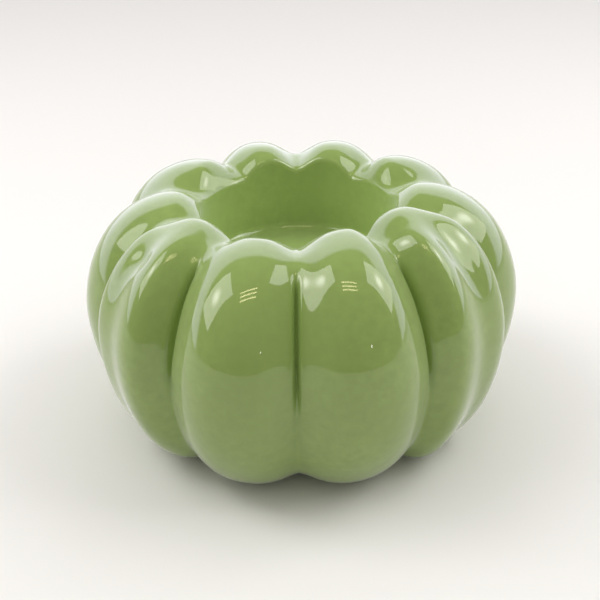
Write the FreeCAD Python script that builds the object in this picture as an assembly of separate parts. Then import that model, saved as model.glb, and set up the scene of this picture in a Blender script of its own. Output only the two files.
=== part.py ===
import FreeCAD, Part
import math
import os

# A hollow ceramic pumpkin with an open well for a pillar candle. Millimetres, +Z up.
# The origin is on the well's axis, in the plane that the felt pads stand on.
# Azimuths are in degrees from -Y, turning towards +X.

# ---- Driving dimensions ----
BELLY_RADIUS = 89.0        # over an average lobe, at its widest
WELL_RADIUS = 39.5         # takes a 76 mm pillar candle
WELL_FLOOR_Z = 65.0
WELL_COVE_RADIUS = 3.5     # between the well's wall and its floor
WALL = 5.0                 # lobed skin and base
CREASE_WALL = 7.0          # the skin in a crease, before the channel is cut into it
CUP_WALL = 4.0             # wall and floor of the well
LIP_RADIUS = 3.0           # rounding of the mouth's edge
WELL_JOINT_Z = 82.0        # where the lobed skin is luted onto the well
SEAM = 2.5                 # leg of each bead of luting slip
BASE_RADIUS = 46.0
BASE_Z = 3.0               # underside of the base, above the lobes' own feet
PAD_RADIUS = 7.0
PAD_RING_RADIUS = 35.0
PAD_EDGE = 0.6
PAD_COUNT = 4
VENT_RADIUS = 4.0          # lets steam out of the hollow in the kiln

# A meridian is given by its lip, its crest, its belly and its foot. The powers say how square
# the two stretches between them are: 2 is an ellipse.
RIDGE = dict(lip_z=97.6, crest_r=49.5, crest_z=101.6, belly_r=BELLY_RADIUS, belly_z=52.3,
             upper_power=2.0, foot_r=60.0, foot_z=1.5, lower_power=1.9)
CREASE = dict(lip_z=91.3, crest_r=53.5, crest_z=94.3, belly_r=81.3, belly_z=51.2,
              upper_power=1.65, foot_r=51.5, foot_z=3.4, lower_power=2.14)
HOLLOW_SHARE = 1.0 / 3.0   # of the wall's thickness by which the hollow's crest and foot shift along r

# Each crease between two lobes ends in a narrow channel.
CHANNEL_DEPTH = 2.2
CHANNEL_HALF_WIDTH = 1.8
CHANNEL_START = (59.0, 67.0)     # radii between which it deepens, going out
CHANNEL_THINNING = (58.0, 42.0)  # heights between which it loses all but CHANNEL_TAIL of its depth
CHANNEL_TAIL = 0.25
CHANNEL_END = (32.0, 14.0)       # heights between which the rest runs out

# How each lobe rises from its creases.
LIP_ROUNDING = 3.0         # radius at the bottom of a crease at the lip
VALLEY_ROUNDING = 5.0      # over the shoulder
FOOT_ROUNDING = 3.0        # and at the foot
SHOULDER = (44.0, 56.0)    # radii between which the rounding goes from the lip's to the shoulder's
FOOT = (45.0, 15.0)        # heights between which it goes to the foot's
LOBE_POWER = 2.3           # how full a lobe is across: 2 is a parabola

# Azimuth of each crease, and how much its lip is raised.
CREASES = [
    (-1.2, 0.7),
    (36.0, 0.0),
    (53.6, 0.0),
    (71.9, 0.0),
    (110.0, 0.0),
    (144.3, 0.0),
    (180.8, 1.5),
    (215.3, -0.3),
    (254.6, 0.0),
    (290.7, 0.0),
    (302.9, 0.0),
    (323.1, 0.0),
]
# For the lobe after each crease: how far its belly swells, its crest rises, its lip rises and its
# foot spreads, past the ridge's own. They follow each other round, none quite like the next.
LOBES = [
    (1.0, -0.4, -0.5, 0.0),
    (-1.2, 1.0, 0.2, 2.5),
    (-0.9, 0.6, 0.2, 2.5),
    (1.4, -2.0, -3.6, 0.0),
    (0.8, -1.2, -6.2, 0.0),
    (-2.0, -0.6, -0.2, 0.0),
    (1.0, -0.8, -0.6, 0.0),
    (2.2, -1.0, -7.4, 0.0),
    (-0.6, -3.0, -5.0, 0.0),
    (-1.6, -3.0, -3.5, -1.0),
    (0.5, -1.6, -3.5, -1.5),
    (1.1, -3.2, -3.2, 0.0),
]
# Two creases are only shallow dents, this share of a whole crease deep. The lobes either side of
# a dent are one lobe at the mouth and part over PAIR_REACH.
DENTS = {2: 0.30, 10: 0.22}
# Degrees past the middle of its lobe that a ridge leans at the mouth. It is upright beyond PAIR_REACH.
LEANS = {0: 4.0}
PAIR_REACH = (50.0, 68.0)

# ---- How finely the skin is sampled ----
ACROSS = [0.0, 0.03, 0.06, 0.09, 0.13, 0.2, 0.32, 0.48, 0.65, 0.82]
ACROSS = ACROSS + [1.0] + [2.0 - share for share in reversed(ACROSS)]
WALL_STEPS = 2
LIP_STEPS = 3
TOP_STEPS = 4
UPPER_STEPS = 9
LOWER_STEPS = 8
SOLE_STEPS = 4


def smooth_step(share):
    share = min(max(share, 0.0), 1.0)
    return share * share * (3.0 - 2.0 * share)


def ramp(value, start, end):
    """0 at start, 1 at end, smoothly. Start may be above end."""
    return smooth_step((value - start) / (end - start))


def steps(count, start=0, end=1):
    """Even shares from 0 to 1 in count steps, with or without its two ends."""
    return [k / count for k in range(start, count + end)]


def outer_start(m):
    """Up the well's wall and over the rounded lip, as (r, z) points."""
    tilt = math.atan(2.0 * (m["crest_z"] - m["lip_z"]) / (m["crest_r"] - WELL_RADIUS))
    centre_r = WELL_RADIUS + LIP_RADIUS
    end_r = centre_r - LIP_RADIUS * math.sin(tilt)
    centre_z = top_z(m, WELL_RADIUS, end_r) - LIP_RADIUS * math.cos(tilt)
    points = []
    for share in steps(WALL_STEPS, end=0):
        points.append((WELL_RADIUS, WELL_JOINT_Z + (centre_z - WELL_JOINT_Z) * share))
    for share in steps(LIP_STEPS):
        turn = share * (math.pi / 2.0 - tilt)
        points.append((centre_r - LIP_RADIUS * math.cos(turn), centre_z + LIP_RADIUS * math.sin(turn)))
    return points


def top_z(m, mouth_r, r):
    """Height of the dished top between the mouth and the crest."""
    share = (m["crest_r"] - r) / (m["crest_r"] - mouth_r)
    return m["crest_z"] - (m["crest_z"] - m["lip_z"]) * share ** 2


def rounded(value, power):
    """A sine or a cosine made into a superellipse's, safe where it is a hair below zero."""
    return max(value, 0.0) ** (2.0 / power)


def body_points(m, start, mouth_r, sole_end):
    """From the end of start over the crest, the belly and the foot, and in under the sole."""
    points = list(start)
    start_r = points[-1][0]
    for share in steps(TOP_STEPS, start=1):
        r = start_r + (m["crest_r"] - start_r) * share
        points.append((r, top_z(m, mouth_r, r)))
    for share in steps(UPPER_STEPS, start=1):
        out = rounded(math.sin(share * math.pi / 2.0), m["upper_power"])
        up = rounded(math.cos(share * math.pi / 2.0), m["upper_power"])
        points.append((m["crest_r"] + (m["belly_r"] - m["crest_r"]) * out,
                       m["belly_z"] + (m["crest_z"] - m["belly_z"]) * up))
    for share in steps(LOWER_STEPS, start=1):
        out = rounded(math.cos(share * math.pi / 2.0), m["lower_power"])
        down = rounded(math.sin(share * math.pi / 2.0), m["lower_power"])
        points.append((m["foot_r"] + (m["belly_r"] - m["foot_r"]) * out,
                       m["belly_z"] - (m["belly_z"] - m["foot_z"]) * down))
    for share in steps(SOLE_STEPS, start=1):
        points.append((m["foot_r"] + (sole_end[0] - m["foot_r"]) * share,
                       m["foot_z"] + (sole_end[1] - m["foot_z"]) * share ** 2))
    return points


def outer_meridian(m):
    return body_points(m, outer_start(m), WELL_RADIUS, (BASE_RADIUS, BASE_Z))


def inner_meridian(m):
    """The hollow's side of the skin, from the well's joint down to the base's joint."""
    mouth_r = WELL_RADIUS + CUP_WALL + SEAM
    start = [(mouth_r, WELL_JOINT_Z)]
    return body_points(m, start, mouth_r, (BASE_RADIUS, BASE_Z + WALL + SEAM))


def inside(m, skin):
    """The same meridian moved inwards through the thickness of the skin."""
    shift = skin * HOLLOW_SHARE
    return dict(m, crest_r=m["crest_r"] + shift, crest_z=m["crest_z"] - skin, lip_z=WELL_JOINT_Z,
                belly_r=m["belly_r"] - skin, foot_r=m["foot_r"] - shift, foot_z=m["foot_z"] + skin)


def grown(m, swell, rise, lip_rise, spread):
    return dict(m, belly_r=m["belly_r"] + swell, crest_z=m["crest_z"] + rise,
                lip_z=m["lip_z"] + lip_rise, foot_r=m["foot_r"] + spread)


def crease_model(index):
    return dict(CREASE, lip_z=CREASE["lip_z"] + CREASES[index][1])


def mean_ridge(lobe, other):
    """The ridge that two neighbouring lobes would have as one."""
    return grown(RIDGE, *[(a + b) / 2.0 for a, b in zip(LOBES[lobe], LOBES[other])])


def mixed(points, others, share):
    """Share 0 gives points and share 1 gives others."""
    return [(a[0] + (b[0] - a[0]) * share, a[1] + (b[1] - a[1]) * share) for a, b in zip(points, others)]


def mean_meridian():
    """Halfway between the ridge and the crease."""
    return {key: (RIDGE[key] + CREASE[key]) / 2.0 for key in RIDGE}


def chord_shares(points):
    """Distance along a meridian, from 0 to 1, used to space its spline's knots."""
    total = [0.0]
    for a, b in zip(points, points[1:]):
        total.append(total[-1] + math.dist(a, b))
    return [length / total[-1] for length in total]


def below_belly(points):
    """For each point of a meridian, whether it comes after the widest one."""
    widest = max(range(len(points)), key=lambda k: points[k][0])
    return [k > widest for k in range(len(points))]


def channel_strengths(crease):
    """How deep the channel is at each point of a crease, as a share of CHANNEL_DEPTH."""
    strengths = []
    for (r, z), below in zip(crease, below_belly(crease)):
        started = 1.0 if below else ramp(r, *CHANNEL_START)
        thinned = 1.0 - (1.0 - CHANNEL_TAIL) * ramp(z, *CHANNEL_THINNING)
        strengths.append(started * thinned * (1.0 - ramp(z, *CHANNEL_END)))
    return strengths


def outward_normals(points):
    normals = []
    for k in range(len(points)):
        before = points[max(k - 1, 0)]
        after = points[min(k + 1, len(points) - 1)]
        length = math.dist(before, after)
        normals.append((-(after[1] - before[1]) / length, (after[0] - before[0]) / length))
    return normals


def roundings(crease):
    """The radius at the bottom of the crease at each of its points."""
    radii = []
    for (r, z), below in zip(crease, below_belly(crease)):
        if below:
            radii.append(VALLEY_ROUNDING + (FOOT_ROUNDING - VALLEY_ROUNDING) * ramp(z, *FOOT))
        else:
            radii.append(LIP_ROUNDING + (VALLEY_ROUNDING - LIP_ROUNDING) * ramp(r, *SHOULDER))
    return radii


def lobe_share(distance, half_width, rounding):
    """0 at the bottom of a crease, 1 on the ridge, with a rounded bottom to the crease."""
    softened = math.hypot(distance, rounding) - rounding
    whole = math.hypot(half_width, rounding) - rounding
    return 1.0 - max(1.0 - softened / whole, 0.0) ** LOBE_POWER


def wave_share(toward_ridge):
    return (1.0 - math.cos(math.pi * toward_ridge)) / 2.0


def creased_column(crease, ridge, toward_ridge, half_angle):
    """A meridian between a whole crease and a ridge, toward_ridge from 0 to 1."""
    column = []
    details = zip(crease, ridge, outward_normals(crease), channel_strengths(crease), roundings(crease))
    for (r, z), (ridge_r, ridge_z), normal, strength, rounding in details:
        half_width = half_angle * r
        distance = toward_ridge * half_width
        share = lobe_share(distance, half_width, rounding)
        depth = CHANNEL_DEPTH * strength * (1.0 - smooth_step(distance / CHANNEL_HALF_WIDTH))
        column.append((r + (ridge_r - r) * share - normal[0] * depth,
                       z + (ridge_z - z) * share - normal[1] * depth))
    return column


def angle_between(first, second):
    """Azimuth of one crease and the angle from it on to another, in radians."""
    start = CREASES[first][0]
    finish = CREASES[second % len(CREASES)][0]
    if finish < start:
        finish += 360.0
    return math.radians(start), math.radians(finish - start)


def nearer_crease(first, second, azimuth, lean=0.0):
    """Which crease a column belongs to, its way from it to the ridge, and their whole angle."""
    start, width = angle_between(first, second)
    to_ridge = width / 2.0 + math.radians(lean)
    past_ridge = width - to_ridge
    passed = azimuth - start
    if passed < to_ridge:
        return first, passed / to_ridge, to_ridge
    return second % len(CREASES), (width - passed) / past_ridge, past_ridge


def single_column(lobe, azimuth, lean=0.0):
    """The outer meridian of one lobe at an azimuth."""
    crease, toward_ridge, half_angle = nearer_crease(lobe, lobe + 1, azimuth, lean)
    ridge = outer_meridian(grown(RIDGE, *LOBES[lobe]))
    bottom = outer_meridian(crease_model(crease))
    if crease not in DENTS:
        return creased_column(bottom, ridge, toward_ridge, half_angle)
    level = outer_meridian(mean_ridge(crease - 1, crease))
    return mixed(mixed(level, bottom, DENTS[crease]), ridge, wave_share(toward_ridge))


def pair_column(first, azimuth):
    """The outer meridian that a lobe and the next would have as one lobe."""
    crease, toward_ridge, half_angle = nearer_crease(first, first + 2, azimuth)
    bottom = outer_meridian(crease_model(crease))
    return creased_column(bottom, outer_meridian(mean_ridge(first, first + 1)), toward_ridge, half_angle)


def inner_valley(crease):
    """The hollow's side of the skin in one crease."""
    valley = inner_meridian(inside(CREASE, CREASE_WALL))
    if crease not in DENTS:
        return valley
    return mixed(inner_meridian(inside(mean_ridge(crease - 1, crease), WALL)), valley, DENTS[crease])


def inner_single_column(lobe, azimuth, lean=0.0):
    """The hollow's side of the skin at an azimuth, which only undulates."""
    crease, toward_ridge = nearer_crease(lobe, lobe + 1, azimuth, lean)[:2]
    ridge = inner_meridian(inside(grown(RIDGE, *LOBES[lobe]), WALL))
    return mixed(inner_valley(crease), ridge, wave_share(toward_ridge))


def inner_pair_column(first, azimuth):
    crease, toward_ridge = nearer_crease(first, first + 2, azimuth)[:2]
    ridge = inner_meridian(inside(mean_ridge(first, first + 1), WALL))
    return mixed(inner_valley(crease), ridge, wave_share(toward_ridge))


def skin_column(lobe, azimuth, single_lobe, lobe_pair):
    """A meridian of a lobe. At the mouth it may lean, or be one with its pair, and not beyond it."""
    single = single_lobe(lobe, azimuth)
    first = lobe - 1 if lobe in DENTS else lobe
    if lobe in LEANS:
        mouth = single_lobe(lobe, azimuth, LEANS[lobe])
    elif first + 1 in DENTS:
        mouth = lobe_pair(first, azimuth)
    else:
        return single
    column = []
    for mouth_point, point, below in zip(mouth, single, below_belly(single)):
        beyond = 1.0 if below else ramp(point[0], *PAIR_REACH)
        column += mixed([mouth_point], [point], beyond)
    return column


def turned(column, azimuth):
    return [FreeCAD.Vector(r * math.sin(azimuth), -r * math.cos(azimuth), z) for r, z in column]


def splined(rows, row_knots):
    """A cubic spline through every point of each row."""
    curves = []
    for row in rows:
        curve = Part.BSplineCurve()
        curve.interpolate(Points=row, Parameters=row_knots)
        curves.append(curve)
    return curves


def skin_patch(columns, across_knots, along_knots):
    """A smooth surface through a grid of points. Neighbouring patches share their edge exactly."""
    along = splined(columns, along_knots)
    across_poles = []
    for k in range(len(along[0].getPoles())):
        across_poles.append(splined([[curve.getPole(k + 1) for curve in along]], across_knots)[0])
    surface = Part.BSplineSurface()
    surface.buildFromPolesMultsKnots(
        [[curve.getPole(j + 1) for curve in across_poles] for j in range(across_poles[0].NbPoles)],
        across_poles[0].getMultiplicities(),
        along[0].getMultiplicities(),
        across_poles[0].getKnots(),
        along[0].getKnots(),
        False,
        False,
        across_poles[0].Degree,
        along[0].Degree,
    )
    return surface


def lobe_surfaces(lobe):
    """The outer and the inner surface of one lobe, crease to crease."""
    start, width = angle_between(lobe, lobe + 1)
    outer_columns = []
    inner_columns = []
    for across in ACROSS:
        azimuth = start + width * across / 2.0
        outer = skin_column(lobe, azimuth, single_column, pair_column)
        inner = skin_column(lobe, azimuth, inner_single_column, inner_pair_column)
        outer_columns.append(turned(outer, azimuth))
        inner_columns.append(turned(inner, azimuth))
    outer_knots = chord_shares(outer_meridian(mean_meridian()))
    inner_knots = chord_shares(inner_meridian(inside(mean_meridian(), WALL)))
    return skin_patch(outer_columns, ACROSS, outer_knots), skin_patch(inner_columns, ACROSS, inner_knots)


def end_arc(surface, at_finish):
    """The patch's edge along its first or its last ring of points."""
    first, last = surface.bounds()[2:]
    return surface.vIso(last if at_finish else first).toShape()


def lobed_shell():
    """The cast skin: lobes outside, a plainer copy inside, and flat joints at both ends."""
    faces = []
    for lobe in range(len(LOBES)):
        outer, inner = lobe_surfaces(lobe)
        faces += [outer.toShape(), inner.toShape()]
        for at_finish in (False, True):
            faces.append(Part.makeRuledSurface(end_arc(outer, at_finish), end_arc(inner, at_finish)))
    shell = Part.makeShell(faces)
    shell.sewShape()
    solid = Part.makeSolid(shell)
    if solid.Volume < 0:
        solid.reverse()
    return solid


def turned_solid(outline):
    """A solid of revolution about the well's axis. The outline is a list of edges in r and z."""
    wire = Part.Wire(Part.__sortEdges__(outline))
    return Part.Face(wire).revolve(FreeCAD.Vector(0, 0, 0), FreeCAD.Vector(0, 0, 1), 360)


def at(r, z):
    return FreeCAD.Vector(r, 0, z)


def line(start, end):
    return Part.makeLine(at(*start), at(*end))


def corner_arc(start, end, centre):
    """A quarter circle from start to end about centre."""
    radius = math.dist(start, centre)
    middle = ((start[0] + end[0]) / 2.0 - centre[0], (start[1] + end[1]) / 2.0 - centre[1])
    reach = radius / math.hypot(*middle)
    through = (centre[0] + middle[0] * reach, centre[1] + middle[1] * reach)
    return Part.Arc(at(*start), at(*through), at(*end)).toShape()


def candle_well():
    """The cup: a straight round wall, a cove and a flat floor."""
    cove = WELL_COVE_RADIUS
    outer_r = WELL_RADIUS + CUP_WALL
    bottom_z = WELL_FLOOR_Z - CUP_WALL
    outer_cove = cove + CUP_WALL
    cove_z = WELL_FLOOR_Z + cove
    return turned_solid([
        line((0, bottom_z), (outer_r - outer_cove, bottom_z)),
        corner_arc((outer_r - outer_cove, bottom_z), (outer_r, cove_z), (outer_r - outer_cove, cove_z)),
        line((outer_r, cove_z), (outer_r, WELL_JOINT_Z)),
        line((outer_r, WELL_JOINT_Z), (WELL_RADIUS, WELL_JOINT_Z)),
        line((WELL_RADIUS, WELL_JOINT_Z), (WELL_RADIUS, cove_z)),
        corner_arc((WELL_RADIUS, cove_z), (WELL_RADIUS - cove, WELL_FLOOR_Z), (WELL_RADIUS - cove, cove_z)),
        line((WELL_RADIUS - cove, WELL_FLOOR_Z), (0, WELL_FLOOR_Z)),
        line((0, WELL_FLOOR_Z), (0, bottom_z)),
    ])


def base_disc():
    """The slab that closes the skin underneath, with the kiln vent through its middle."""
    slab = Part.makeCylinder(BASE_RADIUS, WALL, at(0, BASE_Z))
    vent = Part.makeCylinder(VENT_RADIUS, WALL, at(0, BASE_Z))
    return slab.cut(vent)


def slip_bead(corner, along_r, along_z):
    """A ring of slip in a corner, hollow-faced, with one leg along r and one along z."""
    r, z = corner
    foot = (r + along_r, z)
    top = (r, z + along_z)
    return turned_solid([
        line(corner, foot),
        corner_arc(foot, top, (r + along_r, z + along_z)),
        line(top, corner),
    ])


def felt_pad(number, count):
    turn = math.radians(360.0 / count * (number + 0.5))
    centre = FreeCAD.Vector(PAD_RING_RADIUS * math.sin(turn), -PAD_RING_RADIUS * math.cos(turn), 0)
    pad = Part.makeCylinder(PAD_RADIUS, BASE_Z, centre)
    lower_rim = [edge for edge in pad.Edges if edge.BoundBox.ZMax < PAD_EDGE]
    return pad.makeFillet(PAD_EDGE, lower_rim)


def parts():
    made = {
        "lobed_shell": lobed_shell(),
        "candle_well": candle_well(),
        "base_disc": base_disc(),
        "well_luting_seam": slip_bead((WELL_RADIUS + CUP_WALL, WELL_JOINT_Z), SEAM, -SEAM),
        "base_luting_seam": slip_bead((BASE_RADIUS, BASE_Z + WALL), -SEAM, SEAM),
    }
    for number in range(PAD_COUNT):
        made["felt_pad_%d" % (number + 1)] = felt_pad(number, PAD_COUNT)
    return made


os.makedirs("parts", exist_ok=True)
for name, shape in parts().items():
    shape.exportStep("parts/%s.step" % name)
    print(name, "valid", shape.isValid(), "solids", len(shape.Solids), "volume", round(shape.Volume, 1))
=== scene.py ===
import math

import bpy
import numpy as np
from mathutils import Matrix, Vector, noise


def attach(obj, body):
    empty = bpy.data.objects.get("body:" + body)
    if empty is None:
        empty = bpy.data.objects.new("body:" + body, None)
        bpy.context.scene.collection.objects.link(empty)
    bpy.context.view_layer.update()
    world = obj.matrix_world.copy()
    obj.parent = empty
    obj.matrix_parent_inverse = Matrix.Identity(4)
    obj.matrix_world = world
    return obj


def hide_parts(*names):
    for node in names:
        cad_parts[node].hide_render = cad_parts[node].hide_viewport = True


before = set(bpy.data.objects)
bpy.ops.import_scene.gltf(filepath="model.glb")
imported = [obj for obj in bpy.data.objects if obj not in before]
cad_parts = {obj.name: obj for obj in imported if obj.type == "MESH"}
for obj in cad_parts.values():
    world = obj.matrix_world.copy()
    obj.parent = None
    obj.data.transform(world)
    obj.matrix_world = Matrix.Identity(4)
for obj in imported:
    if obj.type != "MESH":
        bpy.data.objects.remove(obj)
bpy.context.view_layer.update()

# The looks of a hollow, glazed ceramic pumpkin with an open well for a pillar candle.
# Lengths are millimetres in the pumpkin's sections, which scale its mesh to metres by MM, and metres
# in the studio's and the camera's. Azimuths are in degrees from -Y, turning towards +X. Colours are
# linear.

MM = 0.001

# ---- The pumpkin's driving dimensions ----
WELL_RADIUS = 39.5
WELL_FLOOR_Z = 65.0
WELL_COVE_RADIUS = 3.5
WALL = 5.0
CREASE_WALL = 7.0
SKIN_PER_SHIFT = 3.0       # the hollow's crest and foot shift sideways by the skin over this
CUP_WALL = 4.0
LIP_RADIUS = 3.0
WELL_JOINT_Z = 82.0        # where the cup's wall becomes the skin's
SEAM = 2.5                 # of slip, where the skin is luted to the cup and to the base
BASE_RADIUS = 46.0
BASE_Z = 3.0

# The meridians over a ridge and down a crease: radius and height of the lip, the crest, the belly and
# the foot, and how full the curves above and below the belly are.
RIDGE = dict(lip_z=97.6, crest_r=49.5, crest_z=101.6, belly_r=89.0, belly_z=52.3,
             upper_power=2.0, foot_r=60.0, foot_z=1.5, lower_power=1.9)
CREASE = dict(lip_z=91.3, crest_r=53.5, crest_z=94.3, belly_r=81.3, belly_z=51.2,
              upper_power=1.65, foot_r=51.5, foot_z=3.4, lower_power=2.14)

CHANNEL_DEPTH = 2.2
CHANNEL_HALF_WIDTH = 1.8
POOLED_HALF_WIDTH = 2.0 * CHANNEL_HALF_WIDTH  # of the glaze that has run into the channel
CHANNEL_START = (59.0, 67.0)  # radii between which the channel deepens, going out
CHANNEL_TAIL = 0.25        # share of its depth that is left below the belly
CHANNEL_THINNING = (58.0, 42.0)  # heights between which it gets that shallow
CHANNEL_END = (32.0, 14.0)  # and between which it runs out
LIP_ROUNDING = 3.0         # radius at the bottom of a crease at the lip
VALLEY_ROUNDING = 5.0      # over the shoulder
FOOT_ROUNDING = 3.0        # and at the foot
LOBE_POWER = 2.3           # how full a lobe is across: 2 is a parabola
SHOULDER = (44.0, 56.0)    # radii between which the rounding goes from the lip's to the shoulder's
FOOT = (45.0, 15.0)        # heights between which it goes to the foot's
PAIR_REACH = (50.0, 68.0)  # radii over which a pair that is one at the mouth parts and a lean ends

# Azimuth of each crease and how much its lip is raised.
CREASES = [
    (-1.2, 0.7),
    (36.0, 0.0),
    (53.6, 0.0),
    (71.9, 0.0),
    (110.0, 0.0),
    (144.3, 0.0),
    (180.8, 1.5),
    (215.3, -0.3),
    (254.6, 0.0),
    (290.7, 0.0),
    (302.9, 0.0),
    (323.1, 0.0),
]
# Swell of the belly, rise of the crest, rise of the lip and spread of the foot of the lobe after
# each crease.
LOBES = [
    (1.0, -0.4, -0.5, 0.0),
    (-1.2, 1.0, 0.2, 2.5),
    (-0.9, 0.6, 0.2, 2.5),
    (1.4, -2.0, -3.6, 0.0),
    (0.8, -1.2, -6.2, 0.0),
    (-2.0, -0.6, -0.2, 0.0),
    (1.0, -0.8, -0.6, 0.0),
    (2.2, -1.0, -7.4, 0.0),
    (-0.6, -3.0, -5.0, 0.0),
    (-1.6, -3.0, -3.5, -1.0),
    (0.5, -1.6, -3.5, -1.5),
    (1.1, -3.2, -3.2, 0.0),
]
LEANS = {0: 4.0}           # degrees from the middle of a lobe to its ridge at the mouth
DENTS = {2: 0.30, 10: 0.22}  # how deep the valley inside each pair is, as a share of a crease

# ---- How finely the glazed skin is meshed ----
HALF_LOBE_COLUMNS = 28     # on a lobe of AVERAGE_HALF_LOBE degrees either side of its ridge
AVERAGE_HALF_LOBE = 18.0
FEWEST_COLUMNS = 10        # on the narrowest half lobe
COLUMN_CROWDING = 1.75     # above 1, columns crowd towards the creases
FLOOR_STEPS = 6
COVE_STEPS = 10
WELL_STEPS = 6
LIP_WALL_STEPS = 5
LIP_STEPS = 7
TOP_STEPS = 12
UPPER_STEPS = 42
LOWER_STEPS = 40
SOLE_STEPS = 8
INNER_STEPS = 10
INNER_END_STEPS = 2        # on the hollow's short runs at its top and its sole
SHARP_ANGLE = 50.0         # edges turned by more than this look sharp


def even(count, start=0, end=1):
    """Even shares from 0 to 1 in count steps, with or without its two ends."""
    return np.arange(start, count + end) / count


def smooth_step(share):
    share = np.clip(share, 0.0, 1.0)
    return share * share * (3.0 - 2.0 * share)


def points(r, z):
    """An array of (r, z) points from a number or an array for each."""
    return np.stack(np.broadcast_arrays(np.asarray(r, float), np.asarray(z, float)), axis=-1)


def top_z(model, mouth_r, r):
    """Height of the dished top between the mouth and the crest."""
    share = (model["crest_r"] - r) / (model["crest_r"] - mouth_r)
    return model["crest_z"] - (model["crest_z"] - model["lip_z"]) * share ** 2


def outer_start(model):
    """Up the well's wall from its joint and over the rounded lip."""
    run = model["crest_r"] - WELL_RADIUS
    rise = model["crest_z"] - model["lip_z"]
    tilt = math.atan(2.0 * rise / run)
    centre_r = WELL_RADIUS + LIP_RADIUS
    end_r = centre_r - LIP_RADIUS * math.sin(tilt)
    centre_z = top_z(model, WELL_RADIUS, end_r) - LIP_RADIUS * math.cos(tilt)
    wall_z = WELL_JOINT_Z + (centre_z - WELL_JOINT_Z) * even(LIP_WALL_STEPS, end=0)
    wall = points(WELL_RADIUS, wall_z)
    turn = even(LIP_STEPS) * (math.pi / 2.0 - tilt)
    lip = points(centre_r - LIP_RADIUS * np.cos(turn), centre_z + LIP_RADIUS * np.sin(turn))
    return np.concatenate([wall, lip])


def body(model, start, mouth_r, sole_end, steps):
    """From the end of start over the crest, the belly and the foot, and in under the sole."""
    top_steps, upper_steps, lower_steps, sole_steps = steps
    start_r = start[-1][0]
    top_r = start_r + (model["crest_r"] - start_r) * even(top_steps, start=1)
    turn = even(upper_steps, start=1) * math.pi / 2.0
    out = np.sin(turn) ** (2.0 / model["upper_power"])
    up = np.cos(turn).clip(0.0) ** (2.0 / model["upper_power"])
    upper = points(model["crest_r"] + (model["belly_r"] - model["crest_r"]) * out,
                   model["belly_z"] + (model["crest_z"] - model["belly_z"]) * up)
    turn = even(lower_steps, start=1) * math.pi / 2.0
    out = np.cos(turn).clip(0.0) ** (2.0 / model["lower_power"])
    down = np.sin(turn) ** (2.0 / model["lower_power"])
    lower = points(model["foot_r"] + (model["belly_r"] - model["foot_r"]) * out,
                   model["belly_z"] - (model["belly_z"] - model["foot_z"]) * down)
    share = even(sole_steps, start=1)
    sole = points(model["foot_r"] + (sole_end[0] - model["foot_r"]) * share,
                  model["foot_z"] + (sole_end[1] - model["foot_z"]) * share ** 2)
    return np.concatenate([start, points(top_r, top_z(model, mouth_r, top_r)), upper, lower, sole])


def outer_meridian(model):
    steps = (TOP_STEPS, UPPER_STEPS, LOWER_STEPS, SOLE_STEPS)
    return body(model, outer_start(model), WELL_RADIUS, (BASE_RADIUS, BASE_Z), steps)


def inner_meridian(model):
    """The hollow's side of the skin, from the well's joint down to the base's joint."""
    mouth_r = WELL_RADIUS + CUP_WALL + SEAM
    start = points([mouth_r], [WELL_JOINT_Z])
    steps = (INNER_END_STEPS, INNER_STEPS, INNER_STEPS, INNER_END_STEPS)
    return body(model, start, mouth_r, (BASE_RADIUS, BASE_Z + WALL + SEAM), steps)


def inside(model, skin):
    """The same meridian moved inwards through the thickness of the skin."""
    sideways = skin / SKIN_PER_SHIFT
    return dict(model, lip_z=WELL_JOINT_Z, belly_r=model["belly_r"] - skin,
                crest_r=model["crest_r"] + sideways, crest_z=model["crest_z"] - skin,
                foot_r=model["foot_r"] - sideways, foot_z=model["foot_z"] + skin)


def grown(model, swell, rise, lip_rise, spread):
    """A meridian with one lobe's small differences."""
    return dict(model, belly_r=model["belly_r"] + swell, crest_z=model["crest_z"] + rise,
                lip_z=model["lip_z"] + lip_rise, foot_r=model["foot_r"] + spread)


def mixed(start, end, share):
    """start where share is 0, end where it is 1."""
    return start + (end - start) * share


def ramp(value, start, end):
    """0 at start and before it, 1 at end and past it."""
    return smooth_step((value - start) / (end - start))


def below_belly(line):
    """Which points of a meridian come after its widest one."""
    return np.arange(len(line)) > int(np.argmax(line[:, 0]))


def channel_strength(crease):
    """How deep the channel is at each point of a crease, as a share of CHANNEL_DEPTH."""
    thinned = mixed(1.0, CHANNEL_TAIL, ramp(crease[:, 1], *CHANNEL_THINNING))
    run_out = 1.0 - ramp(crease[:, 1], *CHANNEL_END)
    started = np.where(below_belly(crease), 1.0, ramp(crease[:, 0], *CHANNEL_START))
    return started * thinned * run_out


def outward_normals(line):
    """Unit vectors square to a meridian, away from the hollow."""
    along = np.gradient(line, axis=0)
    length = np.linalg.norm(along, axis=1, keepdims=True)
    return np.stack([-along[:, 1], along[:, 0]], axis=1) / length


def lobe_share(line, toward_ridge, half_angle):
    """0 at the bottom of a crease, 1 on the ridge, for each point of a meridian."""
    shoulder = mixed(LIP_ROUNDING, VALLEY_ROUNDING, ramp(line[:, 0], *SHOULDER))
    foot = mixed(VALLEY_ROUNDING, FOOT_ROUNDING, ramp(line[:, 1], *FOOT))
    rounding = np.where(below_belly(line), foot, shoulder)
    half_width = half_angle * line[:, 0]
    softened = np.hypot(toward_ridge * half_width, rounding) - rounding
    whole = np.hypot(half_width, rounding) - rounding
    return 1.0 - (1.0 - softened / whole).clip(0.0) ** LOBE_POWER


def wave_share(toward_ridge):
    """0 in a valley, 1 on the ridge, with no crease between them."""
    return (1.0 - math.cos(math.pi * toward_ridge)) / 2.0


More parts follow.
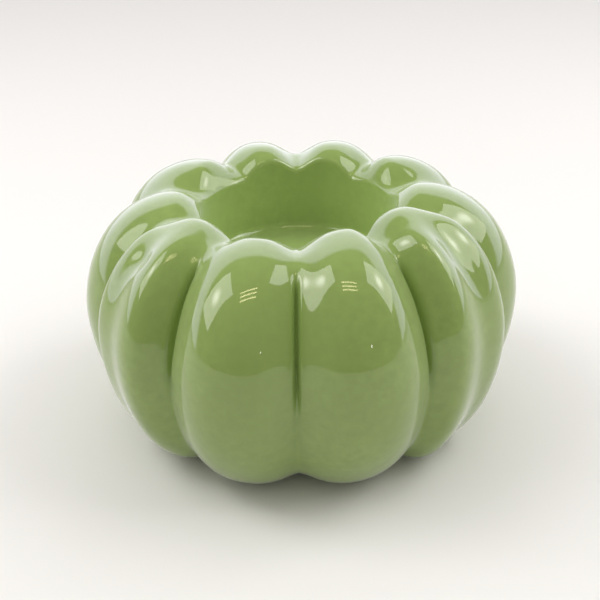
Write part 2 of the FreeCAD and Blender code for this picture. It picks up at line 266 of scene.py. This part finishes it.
def creased_column(crease, ridge, toward_ridge, half_angle):
    """One meridian of the outer skin and how much glaze has pooled at each of its points."""
    distance = toward_ridge * half_angle * crease[:, 0]
    strength = channel_strength(crease)
    hollow = 1.0 - smooth_step(distance / CHANNEL_HALF_WIDTH)
    column = mixed(crease, ridge, lobe_share(crease, toward_ridge, half_angle)[:, None])
    column = column - outward_normals(crease) * (CHANNEL_DEPTH * strength * hollow)[:, None]
    pooled = strength * (1.0 - smooth_step(distance / POOLED_HALF_WIDTH))
    return column, pooled


def crease_model(index):
    """The meridian of one crease, with its lip raised."""
    return dict(CREASE, lip_z=CREASE["lip_z"] + CREASES[index][1])


def angle_between(first, second):
    """Azimuth of one crease and the angle from it on to the next, in radians."""
    start = math.radians(CREASES[first][0])
    finish = math.radians(CREASES[second % len(CREASES)][0])
    if finish < start:
        finish += 2.0 * math.pi
    return start, finish - start


def mean_ridge(lobe, other):
    """The ridge of two lobes taken as one."""
    differences = [(one + two) / 2.0 for one, two in zip(LOBES[lobe], LOBES[other])]
    return grown(RIDGE, *differences)


def cup_inside():
    """The well's floor, cove and wall, from near its middle up to the joint."""
    flat_r = WELL_RADIUS - WELL_COVE_RADIUS
    floor = points(flat_r * even(FLOOR_STEPS, start=1), WELL_FLOOR_Z)
    turn = even(COVE_STEPS, start=1) * math.pi / 2.0
    cove_z = WELL_FLOOR_Z + WELL_COVE_RADIUS
    cove = points(flat_r + WELL_COVE_RADIUS * np.sin(turn), cove_z - WELL_COVE_RADIUS * np.cos(turn))
    wall = points(WELL_RADIUS, cove_z + (WELL_JOINT_Z - cove_z) * even(WELL_STEPS, start=1, end=0))
    return np.concatenate([floor, cove, wall])


def cup_outside():
    """The hollow's side of the cup, from its joint down and in to near its middle."""
    radius = WELL_RADIUS + CUP_WALL
    cove = WELL_COVE_RADIUS + CUP_WALL
    cove_z = WELL_FLOOR_Z + WELL_COVE_RADIUS
    turn = even(INNER_STEPS) * math.pi / 2.0
    corner = points(radius - cove + cove * np.cos(turn), cove_z - cove * np.sin(turn))
    joint = points([radius], [WELL_JOINT_Z])
    inwards = (radius - cove) * (1.0 - even(FLOOR_STEPS, start=1, end=0))
    return np.concatenate([joint, corner, points(inwards, WELL_FLOOR_Z - CUP_WALL)])


def nearer_crease(first, second, azimuth, lean=0.0):
    """Which crease a column belongs to, its way from it to the ridge, and their whole angle."""
    start, width = angle_between(first, second)
    to_ridge = width / 2.0 + math.radians(lean)
    past_ridge = width - to_ridge
    passed = azimuth - start
    if passed < to_ridge:
        return first, passed / to_ridge, to_ridge
    return second % len(CREASES), (width - passed) / past_ridge, past_ridge


def single_column(lobe, azimuth, lean=0.0):
    """The outer meridian of one lobe at an azimuth, and the glaze pooled along it."""
    crease, toward_ridge, half_angle = nearer_crease(lobe, lobe + 1, azimuth, lean)
    ridge = outer_meridian(grown(RIDGE, *LOBES[lobe]))
    bottom = outer_meridian(crease_model(crease))
    if crease not in DENTS:
        return creased_column(bottom, ridge, toward_ridge, half_angle)
    level = outer_meridian(mean_ridge(crease - 1, crease))
    valley = mixed(level, bottom, DENTS[crease])
    return mixed(valley, ridge, wave_share(toward_ridge)), np.zeros(len(ridge))


def pair_column(first, azimuth):
    """The same for a lobe and the next as one lobe."""
    crease, toward_ridge, half_angle = nearer_crease(first, first + 2, azimuth)
    bottom = outer_meridian(crease_model(crease))
    return creased_column(bottom, outer_meridian(mean_ridge(first, first + 1)), toward_ridge, half_angle)


def inner_valley(crease):
    """The hollow's side of the skin in one crease."""
    valley = inner_meridian(inside(CREASE, CREASE_WALL))
    if crease not in DENTS:
        return valley
    return mixed(inner_meridian(inside(mean_ridge(crease - 1, crease), WALL)), valley, DENTS[crease])


def inner_single_column(lobe, azimuth, lean=0.0):
    """The hollow's side of the skin at an azimuth, which only undulates and has no glaze."""
    crease, toward_ridge = nearer_crease(lobe, lobe + 1, azimuth, lean)[:2]
    ridge = inner_meridian(inside(grown(RIDGE, *LOBES[lobe]), WALL))
    return mixed(inner_valley(crease), ridge, wave_share(toward_ridge)), np.zeros(len(ridge))


def inner_pair_column(first, azimuth):
    """The same for a lobe and the next as one lobe."""
    crease, toward_ridge = nearer_crease(first, first + 2, azimuth)[:2]
    ridge = inner_meridian(inside(mean_ridge(first, first + 1), WALL))
    return mixed(inner_valley(crease), ridge, wave_share(toward_ridge)), np.zeros(len(ridge))


def skin_column(lobe, azimuth, single_lobe, lobe_pair):
    """A meridian of a lobe. At the mouth it may lean or be one with its pair, out to PAIR_REACH."""
    single, pooled = single_lobe(lobe, azimuth)
    first = lobe - 1 if lobe in DENTS else lobe
    if lobe in LEANS:
        mouth = single_lobe(lobe, azimuth, LEANS[lobe])[0]
    elif first + 1 in DENTS:
        mouth = lobe_pair(first, azimuth)[0]
    else:
        return single, pooled
    beyond = np.where(below_belly(single), 1.0, ramp(single[:, 0], *PAIR_REACH))
    return mixed(mouth, single, beyond[:, None]), pooled


def lobe_columns(lobe):
    """(azimuth, line of (r, z), pooled glaze) for each column of one lobe, up to the next lobe."""
    start, width = angle_between(lobe, lobe + 1)
    share_of_average = math.degrees(width / 2.0) / AVERAGE_HALF_LOBE
    count = max(round(HALF_LOBE_COLUMNS * share_of_average), FEWEST_COLUMNS)
    rising = even(count) ** COLUMN_CROWDING
    across = np.concatenate([rising, 2.0 - rising[-2:0:-1]])
    floor = cup_inside()
    underneath = cup_outside()
    columns = []
    for azimuth in start + across * width / 2.0:
        outer, pooled = skin_column(lobe, azimuth, single_column, pair_column)
        inner, bare = skin_column(lobe, azimuth, inner_single_column, inner_pair_column)
        line = np.concatenate([floor, outer, inner[::-1], underneath])
        glaze = np.concatenate([np.zeros(len(floor)), pooled, bare, np.zeros(len(underneath))])
        columns.append((azimuth, line, glaze))
    return columns


def closed_rings(name, columns, centres):
    """A closed mesh from columns of points round the Z axis, capped by a fan at each end."""
    rows = columns.shape[1]
    count = len(columns)
    corners = np.concatenate([columns.reshape(-1, 3), centres]) * MM
    index = np.arange(count * rows).reshape(count, rows)
    beside = np.roll(index, -1, axis=0)
    quads = np.stack([index[:, :-1], beside[:, :-1], beside[:, 1:], index[:, 1:]], axis=-1)
    first = count * rows
    faces = [tuple(q) for q in quads.reshape(-1, 4).tolist()]
    faces += [(first, b, a) for a, b in zip(index[:, 0].tolist(), beside[:, 0].tolist())]
    faces += [(first + 1, a, b) for a, b in zip(index[:, -1].tolist(), beside[:, -1].tolist())]
    mesh = bpy.data.meshes.new(name)
    mesh.from_pydata(corners.tolist(), [], faces)
    mesh.validate()
    return mesh


# ---- The unevenness of a hand-finished casting ----
WAVE_SCALE = 26.0          # size of the slow swells over the skin
WAVE_HEIGHT = 0.35
RIPPLE_SCALE = 9.0
RIPPLE_HEIGHT = 0.06
RIPPLE_OFFSET = Vector((7.0, 3.0, 5.0))  # takes the ripples from another part of the noise
FADE_HEIGHT = 6.0          # it all fades out over this much above the base
LUMP_PLACE = Vector((-58.0, -41.8, 89.6))  # a lump left in the clay by handling
LUMP_REACH = 4.2
LUMP_HEIGHT = 1.15


def unevenness(place):
    """How far the skin stands out at a place."""
    place = Vector(place)
    slow = noise.noise(place / WAVE_SCALE)
    fine = noise.noise(place / RIPPLE_SCALE + RIPPLE_OFFSET)
    away = (place - LUMP_PLACE).length / LUMP_REACH
    return WAVE_HEIGHT * slow + RIPPLE_HEIGHT * fine + LUMP_HEIGHT * math.exp(-away ** 2)


def uneven_skin(outer):
    """The outer skin's columns of points, moved in and out by the unevenness."""
    along = np.gradient(outer, axis=1)
    round_it = np.roll(outer, -1, axis=0) - np.roll(outer, 1, axis=0)
    normals = np.cross(round_it, along)
    normals /= np.linalg.norm(normals, axis=-1, keepdims=True)
    fade = smooth_step((outer[..., 2] - BASE_Z) / FADE_HEIGHT)
    fade[:, :LIP_WALL_STEPS] *= even(LIP_WALL_STEPS, end=0)
    shift = np.array([unevenness(place) for place in outer.reshape(-1, 3)]).reshape(outer.shape[:2])
    return outer + normals * (shift * fade)[..., None]


def mark_pooled_glaze(mesh, pooled):
    """Stores how much glaze has pooled at each point. The two at the ends of the axis have none."""
    values = np.zeros(len(mesh.vertices))
    values[:pooled.size] = pooled.ravel()
    mesh.attributes.new("pooled", "FLOAT", "POINT").data.foreach_set("value", values)


def mark_bare_clay(mesh, columns, rows, last_glazed):
    """Gives the second material to the hollow's side: its bands of faces and its closing fan."""
    slots = np.zeros(len(mesh.polygons), dtype=int)
    bare = np.arange(rows - 1) >= last_glazed
    slots[:columns * (rows - 1)] = np.tile(bare, columns)
    slots[-columns:] = 1
    mesh.polygons.foreach_set("material_index", slots)


def pumpkin_mesh():
    """The lobed skin and the cup in its mouth as one closed, double-walled, glazed casting."""
    every_column = [column for lobe in range(len(LOBES)) for column in lobe_columns(lobe)]
    azimuths, lines, pooled = (np.array(values) for values in zip(*every_column))
    azimuths = azimuths[:, None]
    r = lines[..., 0]
    places = np.stack([r * np.sin(azimuths), -r * np.cos(azimuths), lines[..., 1]], axis=-1)
    first = len(cup_inside())
    last = first + len(outer_meridian(RIDGE))
    places[:, first:last] = uneven_skin(places[:, first:last])
    centres = np.array([[0.0, 0.0, WELL_FLOOR_Z], [0.0, 0.0, WELL_FLOOR_Z - CUP_WALL]])
    mesh = closed_rings("glazed_pumpkin", places, centres)
    mark_pooled_glaze(mesh, pooled)
    mark_bare_clay(mesh, *lines.shape[:2], last - 1)
    mesh.shade_smooth()
    mesh.set_sharp_from_angle(angle=math.radians(SHARP_ANGLE))
    return mesh


# ---- Materials ----
# Sizes of patterns and heights of bumps are millimetres.
MIX_INPUTS = (0, 6, 7)     # a Mix node's factor and its two colours among all its inputs
MIX_OUTPUT = 2             # and its colour among its outputs

GLAZE = (0.243, 0.335, 0.093)
GLAZE_CLOUD = tuple(1.08 * channel for channel in GLAZE)
GLAZE_MOTTLE = tuple(0.97 * channel for channel in GLAZE)
GLAZE_DEEP = (0.20, 0.30, 0.06)
GLAZE_ROUGHNESS = (0.03, 0.07)
GLAZE_IOR = 1.52
GLAZE_SHEEN = 0.3
GLAZE_SHEEN_ROUGHNESS = 0.4
GLAZE_BUMP = 0.006
CLOUD_SIZE = 32.0
CLOUD_SPAN = (0.35, 0.65)  # a SPAN is the stretch of the noise that goes from one look to the other
MOTTLE_SIZE = 3.5
MOTTLE_SPAN = (0.35, 0.7)
POLISH_SIZE = 14.0         # of the patches that are a little glossier
POLISH_SPAN = (0.3, 0.7)
ORANGE_PEEL_SIZE = 4.0

CLAY = (0.62, 0.56, 0.47)
CLAY_PALE = (0.74, 0.69, 0.61)
CLAY_GRIT = (0.5, 0.43, 0.34)
CLAY_ROUGHNESS = (0.75, 0.95)
CLAY_BUMP = 0.08
STAIN_SIZE = 18.0
STAIN_SPAN = (0.3, 0.7)
GRIT_SIZE = 0.7
GRIT_SPAN = (0.45, 0.75)

FELT = (0.13, 0.12, 0.11)
FELT_PALE = (0.26, 0.25, 0.23)
FELT_ROUGHNESS = (0.85, 1.0)
FELT_SHEEN = 0.4
FELT_BUMP = 0.25
FIBRE_SIZE = 0.35
FIBRE_SPAN = (0.3, 0.7)

MATT_ROUGHNESS = 0.9


def new_material(name):
    """A material and its Principled shader."""
    material = bpy.data.materials.new(name)
    material.use_nodes = True
    nodes = material.node_tree.nodes
    nodes.clear()
    output = nodes.new("ShaderNodeOutputMaterial")
    shader = nodes.new("ShaderNodeBsdfPrincipled")
    material.node_tree.links.new(shader.outputs["BSDF"], output.inputs["Surface"])
    return material, shader


def fill_socket(owner, socket, value):
    """Links the socket to value, or sets it to that number or colour."""
    if isinstance(value, bpy.types.NodeSocket):
        owner.node_tree.links.new(value, socket)
    else:
        socket.default_value = value


def add_node(owner, kind, inputs=None, **settings):
    """A node of a material or the world, with its settings, numbers and links."""
    node = owner.node_tree.nodes.new(kind)
    for key, value in settings.items():
        setattr(node, key, value)
    for key, value in (inputs or {}).items():
        fill_socket(owner, node.inputs[key], value)
    return node


def pattern(material, size, detail=2.0):
    """A noise over the object with features of about that many millimetres."""
    place = add_node(material, "ShaderNodeTexCoord").outputs["Object"]
    inputs = {"Vector": place, "Scale": 1.0 / (size * MM), "Detail": detail}
    return add_node(material, "ShaderNodeTexNoise", inputs).outputs["Fac"]


def remap(owner, value, start, end, to_range=(0.0, 1.0)):
    """Takes value from start..end to to_range, and no further."""
    low, high = to_range
    inputs = {"Value": value, "From Min": start, "From Max": end, "To Min": low, "To Max": high}
    return add_node(owner, "ShaderNodeMapRange", inputs, clamp=True).outputs["Result"]


def mixed_colour(owner, share, first, second):
    """first where share is 0 and second where it is 1. Either may be a colour or a socket."""
    node = add_node(owner, "ShaderNodeMix", data_type="RGBA")
    for number, value in zip(MIX_INPUTS, (share, first, second)):
        fill_socket(owner, node.inputs[number], (*value, 1.0) if isinstance(value, tuple) else value)
    return node.outputs[MIX_OUTPUT]


def bumped(material, shader, height, depth):
    """Raises the surface by up to depth, in millimetres, where the height socket is 1."""
    inputs = {"Height": height, "Distance": depth * MM, "Strength": 1.0}
    normal = add_node(material, "ShaderNodeBump", inputs).outputs["Normal"]
    material.node_tree.links.new(normal, shader.inputs["Normal"])


def glaze_material():
    """Celadon glaze, cloudy and finely mottled, and darker where it has pooled."""
    material, shader = new_material("celadon_glaze")
    links = material.node_tree.links
    cloud = remap(material, pattern(material, CLOUD_SIZE, detail=3.0), *CLOUD_SPAN)
    mottle = remap(material, pattern(material, MOTTLE_SIZE, detail=4.0), *MOTTLE_SPAN)
    pooled = add_node(material, "ShaderNodeAttribute", attribute_name="pooled").outputs["Fac"]
    clouded = mixed_colour(material, cloud, GLAZE, GLAZE_CLOUD)
    mottled = mixed_colour(material, mottle, GLAZE_MOTTLE, clouded)
    links.new(mixed_colour(material, pooled, mottled, GLAZE_DEEP), shader.inputs["Base Color"])
    rough = remap(material, pattern(material, POLISH_SIZE), *POLISH_SPAN, GLAZE_ROUGHNESS)
    links.new(rough, shader.inputs["Roughness"])
    shader.inputs["IOR"].default_value = GLAZE_IOR
    shader.inputs["Sheen Weight"].default_value = GLAZE_SHEEN
    shader.inputs["Sheen Roughness"].default_value = GLAZE_SHEEN_ROUGHNESS
    bumped(material, shader, pattern(material, ORANGE_PEEL_SIZE), GLAZE_BUMP)
    return material


def bisque_material():
    """Bare fired clay, stained and gritty."""
    material, shader = new_material("bisque")
    links = material.node_tree.links
    stain = remap(material, pattern(material, STAIN_SIZE, detail=5.0), *STAIN_SPAN)
    grit = remap(material, pattern(material, GRIT_SIZE, detail=3.0), *GRIT_SPAN)
    clay = mixed_colour(material, stain, CLAY, CLAY_PALE)
    links.new(mixed_colour(material, grit, clay, CLAY_GRIT), shader.inputs["Base Color"])
    links.new(remap(material, grit, 0.0, 1.0, CLAY_ROUGHNESS), shader.inputs["Roughness"])
    bumped(material, shader, pattern(material, GRIT_SIZE, detail=3.0), CLAY_BUMP)
    return material


def felt_material():
    """Dark felt with paler fibres."""
    material, shader = new_material("felt")
    links = material.node_tree.links
    fibre = remap(material, pattern(material, FIBRE_SIZE, detail=5.0), *FIBRE_SPAN)
    links.new(mixed_colour(material, fibre, FELT, FELT_PALE), shader.inputs["Base Color"])
    links.new(remap(material, fibre, 0.0, 1.0, FELT_ROUGHNESS), shader.inputs["Roughness"])
    shader.inputs["Sheen Weight"].default_value = FELT_SHEEN
    bumped(material, shader, pattern(material, FIBRE_SIZE, detail=5.0), FELT_BUMP)
    return material


def matt_material(name, colour):
    """A plain surface that reflects nothing."""
    material, shader = new_material(name)
    shader.inputs["Base Color"].default_value = (*colour, 1.0)
    shader.inputs["Roughness"].default_value = MATT_ROUGHNESS
    shader.inputs["Specular IOR Level"].default_value = 0.0
    return material


def linked(name, data):
    """A new object of a mesh, a lamp or a camera, in the scene."""
    placed = bpy.data.objects.new(name, data)
    bpy.context.scene.collection.objects.link(placed)
    return placed


# ---- The object ----
glaze = glaze_material()
bisque = bisque_material()
felt = felt_material()

pumpkin = linked("glazed_pumpkin", pumpkin_mesh())
pumpkin.data.materials.append(glaze)
pumpkin.data.materials.append(bisque)
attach(pumpkin, "root")
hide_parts("lobed_shell", "candle_well")

for node_name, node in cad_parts.items():
    finish = felt if node_name.startswith("felt_pad") else bisque
    for slot in node.material_slots:
        slot.material = finish


# ---- Studio ----
FLOOR_COLOUR = (0.785, 0.772, 0.745)
FLOOR_FRONT = -0.75        # the table ends here; beyond it is the dim side of the room
FLOOR_BACK = 3.0
FLOOR_HALF_WIDTH = 3.0

LIGHT_AIM = Vector((0.0, -0.06, 0.06))  # all lights outside the well face this place
WHITE = (1.0, 0.985, 0.96)
WARM = (1.0, 0.86, 0.50)

# Azimuth and elevation from LIGHT_AIM, in degrees, of each lamp.
SOFTBOXES = {"softbox_left": (-86.0, 43.0), "softbox_right": (98.0, 40.0)}
SOFTBOX_DISTANCE = 1.0
SOFTBOX_SIZE = (0.52, 0.80)
SOFTBOX_GLOW = (4.0, 11.0, 0.20)  # radiance at the edge and at the core, and the core's size
TUBES = 3
TUBES_CENTRE = (4.0, 68.0)
TUBE_SPACING = 4.2         # degrees
TUBE_DISTANCE = 1.4
TUBE_SIZE = (0.66, 0.032)
TUBE_GLOW = (12.0, 12.0, 1.0)
SPOT = (33.0, 12.2)        # makes a small glint low on each front lobe
SPOT_DISTANCE = 1.5
SPOT_SIZE = (0.03, 0.05)
SPOT_GLOW = (15.0, 15.0, 1.0)

FILLS = {"left_fill": (-90.0, 45.0, 7.2), "right_fill": (98.0, 42.0, 6.2)}  # with power, in watts
FILL_DISTANCE = 1.0
FILL_SIZE = 0.7

WELL_LAMPS = {"well_lamp_left": -0.019, "well_lamp_right": 0.019}  # along X
WELL_LAMP_HEIGHT = 0.078
WELL_LAMP_RADIUS = 0.01
WELL_LAMP_POWER = 0.008

# What the glaze reflects in front and overhead, and what it reflects behind.
DIM_ROOM = (0.12, 0.115, 0.10)
PALE_BACKDROP = (2.3, 2.2, 2.7)
BACKDROP_TILT = -0.62
BACKDROP_EDGE = (-0.05, 0.05)
# What lights everything without a reflection: from the front, and from behind and overhead.
SOFT_FRONT = (0.46, 0.45, 0.435)
SOFT_SKY = (0.76, 0.745, 0.725)
SKY_TILT = 0.8
SKY_EDGE = (-0.4, 0.6)
SEEN_BACKDROP = (0.87, 0.86, 0.83)  # what the camera sees past the floor


def rectangle(name, left, right, front, back):
    """A flat rectangle in the XY plane, facing up."""
    corners = [(left, front, 0.0), (right, front, 0.0), (right, back, 0.0), (left, back, 0.0)]
    mesh = bpy.data.meshes.new(name)
    mesh.from_pydata(corners, [], [(0, 1, 2, 3)])
    return linked(name, mesh)


def direction(azimuth, elevation):
    """The unit vector towards there from the origin."""
    turn = math.radians(azimuth)
    rise = math.radians(elevation)
    return Vector((math.sin(turn) * math.cos(rise), -math.cos(turn) * math.cos(rise), math.sin(rise)))


def face_pumpkin(lamp, azimuth, elevation, distance):
    """Puts a lamp that way from LIGHT_AIM, facing it."""
    away = direction(azimuth, elevation)
    lamp.location = LIGHT_AIM + away * distance
    lamp.rotation_mode = "QUATERNION"
    lamp.rotation_quaternion = away.to_track_quat("Z", "Y")


def glowing_material(name, colour, edge, core, core_size):
    """Emission that falls off smoothly from core at the middle to edge, over about core_size metres."""
    material = bpy.data.materials.new(name)
    material.use_nodes = True
    material.node_tree.nodes.clear()
    place = add_node(material, "ShaderNodeTexCoord").outputs["Object"]
    away = add_node(material, "ShaderNodeVectorMath", {0: place}, operation="LENGTH").outputs["Value"]
    inputs = {"Value": away, "From Min": 0.0, "From Max": core_size, "To Min": core, "To Max": edge}
    share = add_node(material, "ShaderNodeMapRange", inputs, interpolation_type="SMOOTHERSTEP")
    inputs = {"Strength": share.outputs["Result"], "Color": (*colour, 1.0)}
    emission = add_node(material, "ShaderNodeEmission", inputs)
    add_node(material, "ShaderNodeOutputMaterial", {"Surface": emission.outputs["Emission"]})
    return material


def softbox(name, way, distance, size, glow, colour):
    """A glowing panel that the glaze reflects. It lights nothing matt and the camera doesn't see it."""
    half_width = size[0] / 2.0
    half_height = size[1] / 2.0
    panel = rectangle(name, -half_width, half_width, -half_height, half_height)
    face_pumpkin(panel, *way, distance)
    panel.visible_camera = False
    panel.visible_diffuse = False
    panel.data.materials.append(glowing_material(name, colour, *glow))


def fill_light(name, azimuth, elevation, power):
    """A softbox's light on the floor and the clay. It isn't reflected."""
    lamp = bpy.data.lights.new(name, "AREA")
    lamp.size = FILL_SIZE
    lamp.energy = power
    placed = linked(name, lamp)
    face_pumpkin(placed, azimuth, elevation, FILL_DISTANCE)
    placed.visible_glossy = False


def well_lamp(name, x):
    """A little of the light that the pale clay carries round inside the well."""
    lamp = bpy.data.lights.new(name, "POINT")
    lamp.shadow_soft_size = WELL_LAMP_RADIUS
    lamp.energy = WELL_LAMP_POWER
    placed = linked(name, lamp)
    placed.location = (x, 0.0, WELL_LAMP_HEIGHT)
    placed.visible_glossy = False


def backward(world, split, tilt):
    """How far back a direction points, with tilt times its height added."""
    inputs = {0: split.outputs["Z"], 1: tilt, 2: split.outputs["Y"]}
    return add_node(world, "ShaderNodeMath", inputs, operation="MULTIPLY_ADD").outputs[0]


def studio_world():
    """Reflections of a pale backdrop behind and a dim room elsewhere, and soft light from all round."""
    world = bpy.data.worlds.new("studio")
    world.use_nodes = True
    world.node_tree.nodes.clear()
    place = add_node(world, "ShaderNodeTexCoord").outputs["Generated"]
    split = add_node(world, "ShaderNodeSeparateXYZ", {0: place})
    behind = remap(world, backward(world, split, BACKDROP_TILT), *BACKDROP_EDGE)
    room = mixed_colour(world, behind, DIM_ROOM, PALE_BACKDROP)
    overhead = remap(world, backward(world, split, SKY_TILT), *SKY_EDGE)
    softness = mixed_colour(world, overhead, SOFT_FRONT, SOFT_SKY)
    sight = add_node(world, "ShaderNodeLightPath")
    soft = mixed_colour(world, sight.outputs["Is Diffuse Ray"], room, softness)
    seen = mixed_colour(world, sight.outputs["Is Camera Ray"], soft, SEEN_BACKDROP)
    background = add_node(world, "ShaderNodeBackground", {"Color": seen})
    add_node(world, "ShaderNodeOutputWorld", {"Surface": background.outputs[0]})
    bpy.context.scene.world = world


floor = rectangle("floor", -FLOOR_HALF_WIDTH, FLOOR_HALF_WIDTH, FLOOR_FRONT, FLOOR_BACK)
floor.data.materials.append(matt_material("floor_paper", FLOOR_COLOUR))

for name, way in SOFTBOXES.items():
    softbox(name, way, SOFTBOX_DISTANCE, SOFTBOX_SIZE, SOFTBOX_GLOW, WHITE)
for number in range(TUBES):
    tube_way = (TUBES_CENTRE[0], TUBES_CENTRE[1] + TUBE_SPACING * (number - (TUBES - 1) / 2))
    softbox("tube_%d" % number, tube_way, TUBE_DISTANCE, TUBE_SIZE, TUBE_GLOW, WARM)
softbox("spot_low", SPOT, SPOT_DISTANCE, SPOT_SIZE, SPOT_GLOW, WHITE)
studio_world()
for name, (azimuth, elevation, power) in FILLS.items():
    fill_light(name, azimuth, elevation, power)
for name, x in WELL_LAMPS.items():
    well_lamp(name, x)


# ---- Camera ----
CAMERA_ELEVATION = 27.79   # degrees
CAMERA_ROLL = -0.99
CAMERA_DISTANCE = 0.4633   # from its target
CAMERA_TARGET = Vector((0.0, 0.0, 0.04925))
CAMERA_LENS = 66.01        # millimetres
CAMERA_SENSOR = 36.0
CAMERA_CLIP = (0.01, 20.0)


def aim_camera():
    """A camera in front of the pumpkin and above it, rolled a little."""
    lens = bpy.data.cameras.new("camera")
    lens.sensor_width = CAMERA_SENSOR
    lens.lens = CAMERA_LENS
    lens.clip_start, lens.clip_end = CAMERA_CLIP
    camera = linked("camera", lens)
    back = direction(0.0, CAMERA_ELEVATION)
    level_right = Vector((1.0, 0.0, 0.0))
    level_up = back.cross(level_right)
    roll = math.radians(CAMERA_ROLL)
    right = level_right * math.cos(roll) + level_up * math.sin(roll)
    up = level_up * math.cos(roll) - level_right * math.sin(roll)
    axes = Matrix((right, up, back)).transposed()
    camera.matrix_world = Matrix.LocRotScale(CAMERA_TARGET + back * CAMERA_DISTANCE, axes, None)
    bpy.context.scene.camera = camera


aim_camera()
bpy.context.scene.view_settings.view_transform = "Standard"
